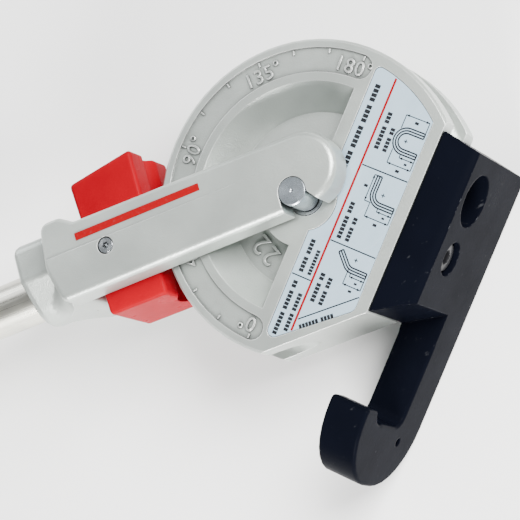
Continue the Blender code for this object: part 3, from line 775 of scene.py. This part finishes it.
class BENDER_OT_casting_marks(bpy.types.Operator):
    """Raise the tube size in the former's pocket"""

    bl_idname = "bender.casting_marks"
    bl_label = "Casting marks"

    def execute(self, context):
        floor = FORMER_TOP - POCKET_DEPTH
        sunk = floor - RELIEF_ROOT
        top = floor + MARK_RELIEF
        material = bpy.data.materials["blasted_aluminium"]
        marks = bmesh.new()
        turn = math.atan2(MARK_PLACE.y, MARK_PLACE.x) - math.pi / 2
        add_figures(marks, "22", MARK_PLACE, turn, MARK_HEIGHT, sunk, top, 1.1)
        add_drawn_piece("pocket_marks", marks, material, "former_assembly")
        return {"FINISHED"}


class BENDER_OT_label(bpy.types.Operator):
    """Print the label: its film, line, rules, three bends and plain rows for words"""

    bl_idname = "bender.label"
    bl_label = "Label"

    thick = 0.00082
    thin = 0.00050
    line_width = 0.0013
    rule_width = 0.0007
    arrow_length = 0.0020
    arrow_half_width = 0.00075
    cross_arm = 0.0011
    inner_bend = 0.0045
    middle_bend = 0.0060
    outer_bend = 0.0075
    tube_end = 0.0514
    slant = math.radians(39.5)

    def arrow(self, work, tip, towards):
        """A small filled arrow head."""
        along = (Vector(towards) - Vector(tip)).normalized()
        across = Vector((-along.y, along.x)) * self.arrow_half_width
        base = Vector(tip) + along * self.arrow_length
        outline = [Vector(tip), base + across, base - across]
        top = [work.verts.new((*point, self.high)) for point in outline]
        bottom = [work.verts.new((*point, self.low)) for point in outline]
        work.faces.new(top)
        work.faces.new(reversed(bottom))
        for index in range(3):
            after = (index + 1) % 3
            work.faces.new((top[index], bottom[index], bottom[after], top[after]))

    def words(self, work, start, along, counts, height):
        """A row of plain blocks in place of words, with a block for each letter."""
        pen = Vector(start)
        for count in counts:
            for _ in range(count):
                end = pen + along * height * 0.50
                add_stroke(work, (pen, end), height * 0.78, self.low, self.high)
                pen = pen + along * height * 0.62
            pen = pen + along * height * 0.45

    def dimension(self, work, start, end):
        """A dimension line with an arrow at each end."""
        add_stroke(work, (start, end), self.thin, self.low, self.high)
        self.arrow(work, start, end)
        self.arrow(work, end, start)

    def bend(self, work, centre, degrees, straight):
        """A bent tube round a centre cross, with its end at the label's right side."""
        centre = Vector(centre)
        end_x = self.tube_end
        last = math.radians(270.0 - degrees)
        outward = Vector((math.cos(last), math.sin(last)))
        along = Vector((math.sin(last), -math.cos(last)))
        for radius in (self.inner_bend, self.middle_bend, self.outer_bend):
            points = [Vector((end_x, centre.y - radius))]
            points += circle_points(centre, radius, 270.0, 270.0 - degrees, 14)
            points.append(points[-1] + along * straight)
            add_stroke(work, points, self.thick, self.low, self.high)
        near = centre + outward * self.inner_bend + along * straight
        far = centre + outward * self.outer_bend + along * straight
        add_stroke(work, (near, far), self.thick, self.low, self.high)
        start = ((end_x, centre.y - self.inner_bend), (end_x, centre.y - self.outer_bend))
        add_stroke(work, start, self.thick, self.low, self.high)
        for arm in (Vector((self.cross_arm, 0)), Vector((0, self.cross_arm))):
            add_stroke(work, (centre - arm, centre + arm), self.thin, self.low, self.high)

    def lengths(self, work, centre, left, low_y):
        """The two dimensions below a bend: the set length and the whole leg."""
        end_x = self.tube_end
        tube_y = centre[1] - self.outer_bend
        set_y = tube_y - 0.0020
        self.dimension(work, (centre[0], set_y), (end_x, set_y))
        add_stroke(work, ((centre[0], tube_y), (centre[0], set_y)), self.thin, self.low, self.high)
        self.dimension(work, (left, low_y), (end_x, low_y))
        add_stroke(work, ((end_x, tube_y), (end_x, low_y)), self.thin, self.low, self.high)
        left_line = ((left, centre[1] - self.middle_bend), (left, low_y))
        add_stroke(work, left_line, self.thin, self.low, self.high)

    def execute(self, context):
        settings = context.scene.bender_label
        paint_node("label_plate", label_finish(settings))
        black = ink_finish("black_ink", tuple(settings.print_colour))
        red = ink_finish("red_ink", tuple(settings.line_colour))
        self.low = LABEL_TOP - PRINT_ROOT
        self.high = LABEL_TOP + settings.ink

        line = bmesh.new()
        ends = ((0.0227, -0.0706), (0.0227, 0.0789))
        add_stroke(line, ends, self.line_width, self.low, self.high)
        add_drawn_piece("label_red_line", line, red, "former_assembly")

        rules = bmesh.new()
        for start, end in (
            ((0.0236, 0.0285), (0.0524, 0.0285)),
            ((0.0236, -0.0163), (0.0524, -0.0163)),
            ((0.0238, -0.0634), (0.0524, -0.0392)),
            ((0.0098, -0.0413), (0.0219, -0.0413)),
        ):
            add_stroke(rules, (start, end), self.rule_width, self.low, self.high)
        add_drawn_piece("label_rules", rules, black, "former_assembly")

        bends = bmesh.new()
        half_turn = (0.0423, 0.0487)
        self.bend(bends, half_turn, 180.0, 0.0091)
        self.lengths(bends, half_turn, 0.0367, 0.0345)
        self.dimension(bends, (0.0367, 0.0625), (0.0514, 0.0625))
        for x, low_y in ((0.0367, 0.0545), (0.0514, 0.0562)):
            add_stroke(bends, ((x, low_y), (x, 0.0625)), self.thin, self.low, self.high)
        quarter_turn = (0.0423, 0.0168)
        self.bend(bends, quarter_turn, 90.0, 0.0091)
        self.lengths(bends, quarter_turn, 0.0366, 0.0028)
        self.dimension(bends, (0.0331, 0.0259), (0.0331, 0.0108))
        for y, right_x in ((0.0259, 0.0348), (0.0108, 0.0366)):
            add_stroke(bends, ((0.0331, y), (right_x, y)), self.thin, self.low, self.high)
        eighth_turn = (0.0423, -0.0214)
        self.bend(bends, eighth_turn, 45.0, 0.0087)
        self.lengths(bends, eighth_turn, 0.0402, -0.0358)
        add_drawn_piece("label_bend_drawings", bends, black, "former_assembly")

        words = bmesh.new()
        for start, counts, height in (
            ((0.0142, 0.0125), (8, 5, 4, 4), 0.0042),
            ((0.0274, 0.0392), (6, 3), 0.0036),
            ((0.0326, 0.0392), (4, 2), 0.0034),
            ((0.0274, -0.0138), (6, 3), 0.0036),
            ((0.0326, -0.0138), (4, 2), 0.0034),
            ((0.0274, -0.0515), (5, 2), 0.0036),
            ((0.0326, -0.0515), (4, 3), 0.0034),
            ((0.0142, -0.0388), (4, 4), 0.0036),
            ((0.0196, -0.0388), (8,), 0.0030),
            ((0.0138, -0.0762), (6, 5, 2), 0.0036),
            ((0.0194, -0.0722), (5, 5), 0.0034),
            ((0.0443, 0.0592), (1,), 0.0030),
            ((0.0443, 0.0311), (1,), 0.0030),
            ((0.0473, 0.0362), (1,), 0.0022),
            ((0.0305, 0.0178), (1,), 0.0030),
            ((0.0443, -0.0006), (1,), 0.0030),
            ((0.0473, 0.0046), (1,), 0.0022),
            ((0.0458, -0.0390), (1,), 0.0026),
            ((0.0473, -0.0340), (1,), 0.0022),
        ):
            self.words(words, start, Vector((0, 1)), counts, height)
        slant = Vector((math.cos(self.slant), math.sin(self.slant)))
        self.words(words, (0.0262, -0.0672), slant, (6, 4), 0.0032)
        add_drawn_piece("label_words", words, black, "former_assembly")
        return {"FINISHED"}


class BENDER_OT_hook(bpy.types.Operator):
    """Lacquer the hook block and blacken its screw"""

    bl_idname = "bender.hook"
    bl_label = "Hook"

    def execute(self, context):
        settings = context.scene.bender_hook
        colour = tuple(settings.colour)
        black = lacquer_finish("black_lacquer", colour, settings.roughness, BARE_STEEL,
                               settings.gloss)
        paint_node("hook_block", black)
        dress("hook_block", "hook_forging", black, "former_assembly")
        oxide = lacquer_finish("black_oxide", (0.012, 0.012, 0.014), 0.34, (0.14, 0.14, 0.15), 0.3)
        paint_node("hook_screw", oxide)
        dress("hook_screw", "hook_cap_screw", oxide, "former_assembly")
        paint_node("handle_lock_screw", oxide)
        return {"FINISHED"}


class BENDER_OT_pivot(bpy.types.Operator):
    """Finish the pivot pin, its bushes and the hook's inner fixings"""

    bl_idname = "bender.pivot"
    bl_label = "Pivot"

    def execute(self, context):
        zinc = turned_finish("zinc_plated_pin", (0.60, 0.665, 0.72), 0.30)
        paint_node("pivot_pin", zinc)
        dress("pivot_pin", "turned_pivot_pin", zinc, "pivot_pin")
        steel = turned_finish("ground_steel", (0.50, 0.52, 0.53), 0.32)
        for name in ("thread_insert", "hook_dowel_upper", "hook_dowel_lower"):
            paint_node(name, steel)
        for name, place in (("pivot_bush_front", "front"), ("pivot_bush_rear", "rear")):
            paint_node(name, steel)
            dress(name, "turned_bush_" + place, steel, "former_assembly")
        return {"FINISHED"}


class BENDER_OT_shoe(bpy.types.Operator):
    """Lacquer the pressure shoe and finish the parts that it swivels on"""

    bl_idname = "bender.shoe"
    bl_label = "Shoe"

    def execute(self, context):
        settings = context.scene.bender_shoe
        colour = tuple(settings.colour)
        red = lacquer_finish("red_lacquer", colour, settings.roughness, WORN_RED,
                             settings.gloss)
        paint_node("shoe", red)
        dress("shoe", "lacquered_shoe", red, "shoe")
        low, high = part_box("shoe_screw")
        centre = ((low.x + high.x) / 2, (low.y + high.y) / 2, 0.0)
        zinc = turned_finish("zinc_plated_screw", (0.66, 0.70, 0.73), 0.24, centre)
        for name in ("shoe_screw", "shoe_washer_front", "shoe_washer_rear", "shoe_nut"):
            paint_node(name, zinc)
            dress(name, "turned_" + name, zinc, "lever")
        paint_node("shoe_sleeve", turned_finish("turned_sleeve", (0.55, 0.38, 0.18), 0.34, centre))
        return {"FINISHED"}


class BENDER_OT_lever_stripe(bpy.types.Operator):
    """Print a plain red stripe on the lever's front arm"""

    bl_idname = "bender.lever_stripe"
    bl_label = "Lever stripe"

    root = 0.0007
    below_top = 0.0001
    outer_end = -0.1330
    inner_end = -0.0520
    across = 0.0228
    width = 0.0042

    def execute(self, context):
        red = bpy.data.materials["red_ink"]
        low = ARM_TOP - self.root
        high = ARM_TOP - self.below_top
        stripe = bmesh.new()
        start = lever_point(self.outer_end, self.across)
        end = lever_point(self.inner_end, self.across)
        add_stroke(stripe, (start, end), self.width, low, high)
        add_drawn_piece("lever_stripe", stripe, red, "lever")
        return {"FINISHED"}


class BENDER_OT_handle(bpy.types.Operator):
    """Finish the handle tube, its cap and its ribbed grip"""

    bl_idname = "bender.handle"
    bl_label = "Handle"

    rib_sides = 40
    rib_foot = 0.0022
    rib_crest = 0.0010
    rib_sink = 0.0004

    def execute(self, context):
        settings = context.scene.bender_handle
        plated = tube_finish()
        paint_node("handle_tube", plated)
        dress("handle_tube", "drawn_handle_tube", plated, "lever")
        rubber = rubber_finish()
        for node, name in (("handle_grip", "moulded_grip"), ("handle_end_cap", "moulded_end_cap")):
            paint_node(node, rubber)
            dress(node, name, rubber, "lever")
        low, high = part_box("handle_grip")
        centre = (low + high) / 2
        radius = (high.z - low.z) / 2
        length = (high - low).to_2d().length - 2 * radius
        ribs = bmesh.new()
        sides = self.rib_sides
        profile = (
            (-self.rib_foot, -self.rib_sink),
            (-self.rib_crest, settings.rib_height),
            (self.rib_crest, settings.rib_height),
            (self.rib_foot, -self.rib_sink),
        )
        for index in range(settings.rib_count):
            share = (index + 1) / (settings.rib_count + 1) - 0.5
            middle = centre + LEVER_ALONG * length * share
            loops = []
            for offset, height in profile:
                reach = radius + height
                loop = []
                for side in range(sides):
                    angle = 2 * math.pi * side / sides
                    away = LEVER_ACROSS * math.cos(angle) + Vector((0, 0, math.sin(angle)))
                    loop.append(ribs.verts.new(middle + LEVER_ALONG * offset + away * reach))
                loops.append(loop)
            for one, two in zip(loops, loops[1:] + loops[:1]):
                for side in range(sides):
                    after = (side + 1) % sides
                    ribs.faces.new((one[side], one[after], two[after], two[side]))
        piece = add_drawn_piece("grip_ribs", ribs, rubber, "lever")
        piece.data.shade_smooth()
        return {"FINISHED"}


class BENDER_OT_stage(bpy.types.Operator):
    """Set the table, the soft lights and the camera"""

    bl_idname = "bender.stage"
    bl_label = "Stage"

    light_target = Vector((0.0, -0.02, 0.04))
    floor_half_width = 10.0
    floor_gap = 0.0005

    def add_light(self, name, place, size, power, colour):
        """A soft square light that faces the bender."""
        data = bpy.data.lights.new(name, "AREA")
        data.shape = "SQUARE"
        data.size = size
        data.energy = power
        data.color = colour
        light = bpy.data.objects.new(name, data)
        bpy.context.scene.collection.objects.link(light)
        light.location = place
        aim = self.light_target - Vector(place)
        light.rotation_euler = aim.to_track_quat("-Z", "Y").to_euler()

    def add_floor(self, colour):
        """A plain pale table under the tool's lowest point."""
        finish = Finish("pale_table", roughness=0.62)
        tone = finish.ranged(finish.noise(0.35, 3.0), 0.35, 0.7, 0.0, 1.0)
        finish.set("Base Color", finish.blended(tone, colour, darker(colour, 0.985)))
        work = bmesh.new()
        bmesh.ops.create_grid(work, x_segments=2, y_segments=2, size=self.floor_half_width)
        mesh = bpy.data.meshes.new("table")
        work.to_mesh(mesh)
        work.free()
        mesh.materials.append(finish.material)
        table = bpy.data.objects.new("table", mesh)
        bpy.context.scene.collection.objects.link(table)
        table.location.z = TABLE_HEIGHT - self.floor_gap

    def add_camera(self, settings):
        """The camera, placed by its angles about the target."""
        flat = math.cos(settings.elevation)
        back = Vector((math.sin(settings.azimuth) * flat, -math.cos(settings.azimuth) * flat,
                       math.sin(settings.elevation)))
        level = Vector((math.cos(settings.azimuth), math.sin(settings.azimuth), 0.0))
        rise = back.cross(level)
        right = level * math.cos(settings.roll) + rise * math.sin(settings.roll)
        up = rise * math.cos(settings.roll) - level * math.sin(settings.roll)
        data = bpy.data.cameras.new("camera")
        data.sensor_width = 36.0
        data.lens = settings.lens
        data.clip_end = 20.0
        camera = bpy.data.objects.new("camera", data)
        bpy.context.scene.collection.objects.link(camera)
        turn = Matrix((right, up, back)).transposed().to_4x4()
        place = Vector(settings.target) + back * settings.distance
        camera.matrix_world = Matrix.Translation(place) @ turn
        bpy.context.scene.camera = camera

    def execute(self, context):
        settings = context.scene.bender_stage
        self.add_camera(settings)
        self.add_floor(tuple(settings.floor_colour))
        self.add_light("overhead", (0.55, 0.75, 1.20), 0.9, 84.0, (1.0, 0.995, 0.98))
        self.add_light("key", (0.60, -1.20, 0.62), 0.6, 62.0, (1.0, 0.99, 0.97))
        self.add_light("fill", (-1.35, 0.10, 0.70), 0.9, 12.0, (0.96, 0.98, 1.0))
        world = bpy.data.worlds.new("studio")
        world.use_nodes = True
        background = world.node_tree.nodes["Background"]
        background.inputs["Color"].default_value = (0.95, 0.97, 1.0, 1.0)
        background.inputs["Strength"].default_value = 0.30
        bpy.context.scene.world = world
        return {"FINISHED"}


OPERATORS = (
    BENDER_OT_castings,
    BENDER_OT_dial,
    BENDER_OT_casting_marks,
    BENDER_OT_label,
    BENDER_OT_hook,
    BENDER_OT_pivot,
    BENDER_OT_shoe,
    BENDER_OT_lever_stripe,
    BENDER_OT_handle,
    BENDER_OT_stage,
)


class BENDER_PT_panel(bpy.types.Panel):
    """The bender's operators and settings"""

    bl_idname = "BENDER_PT_panel"
    bl_label = "Tube bender"
    bl_space_type = "VIEW_3D"
    bl_region_type = "UI"
    bl_category = "Bender"

    def draw(self, context):
        for operator in OPERATORS:
            self.layout.operator(operator.bl_idname)
        for attribute in SETTINGS:
            settings = getattr(context.scene, attribute)
            box = self.layout.box()
            for name in settings.__annotations__:
                box.prop(settings, name)


def register():
    """Registers the settings, operators and panel."""
    for attribute, settings in SETTINGS.items():
        bpy.utils.register_class(settings)
        setattr(bpy.types.Scene, attribute, bpy.props.PointerProperty(type=settings))
    for operator in OPERATORS:
        bpy.utils.register_class(operator)
    bpy.utils.register_class(BENDER_PT_panel)


def unregister():
    """Takes away what register added."""
    bpy.utils.unregister_class(BENDER_PT_panel)
    for operator in reversed(OPERATORS):
        bpy.utils.unregister_class(operator)
    for attribute, settings in reversed(SETTINGS.items()):
        delattr(bpy.types.Scene, attribute)
        bpy.utils.unregister_class(settings)


def main():
    """Runs every operator."""
    register()
    for operator in OPERATORS:
        group, name = operator.bl_idname.split(".")
        result = getattr(getattr(bpy.ops, group), name)()
        if result != {"FINISHED"}:
            raise RuntimeError(operator.bl_label + " did not finish")


if __name__ == "__main__":
    main()
